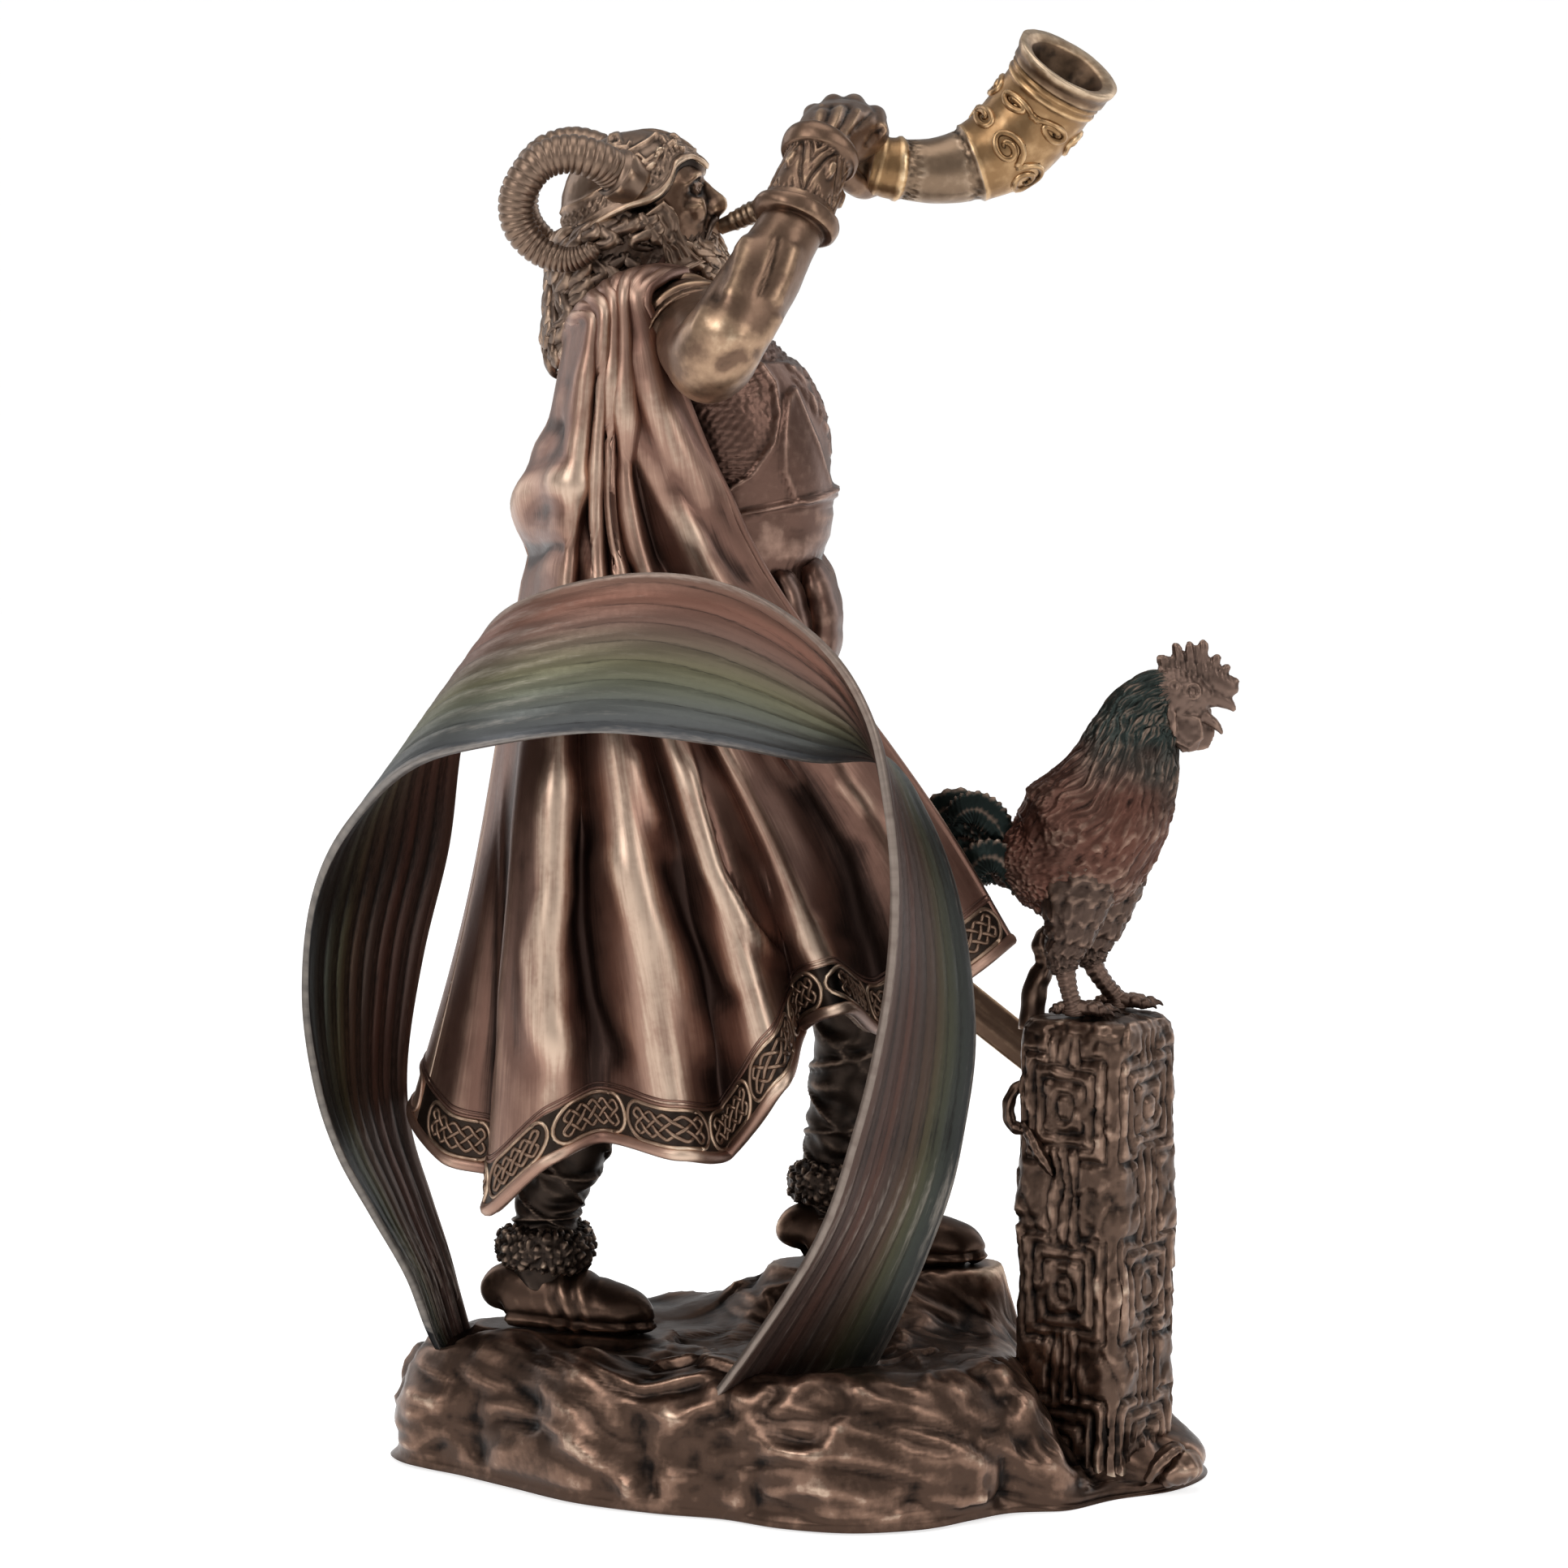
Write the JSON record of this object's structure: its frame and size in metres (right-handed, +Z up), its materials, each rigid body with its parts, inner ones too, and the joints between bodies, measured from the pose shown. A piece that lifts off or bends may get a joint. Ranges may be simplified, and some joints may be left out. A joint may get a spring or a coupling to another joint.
{
  "type": "norse god statue",
  "caption": "Bronze-finished statue of an armoured norse god in a ram-horned helmet and cape, blowing a horn, with a ribbed rainbow band and a rooster on a carved pillar.",
  "frame": {"origin": "on the underside of the rock base, below the figure's middle", "axes": "+X the way the figure faces, +Z up, and the caped side with the ribbon's arch faces -Y"},
  "size_m": [0.1868, 0.1103, 0.293],
  "materials": {
    "rock_bronze": "dark bronze with rubbed ridges",
    "pillar_bronze": "dark bronze with rubbed ridges",
    "rooster_bronze": "dark bronze with pale feather edges",
    "figure_bronze": "satin bronze, dark in the hollows and golden on the ridges",
    "horn_bronze": "satin golden bronze",
    "painted_ribbon": "thin rainbow paint rubbed over bronze",
    "sword_bronze": "satin bronze"
  },
  "bodies": {
    "root": {"rock_base": "rock_bronze", "carved_pillar": "pillar_bronze", "rooster": "rooster_bronze", "figure": "figure_bronze", "blowing_horn": "horn_bronze", "rainbow_ribbon": "painted_ribbon", "sword": "sword_bronze"}
  },
  "joints": []
}
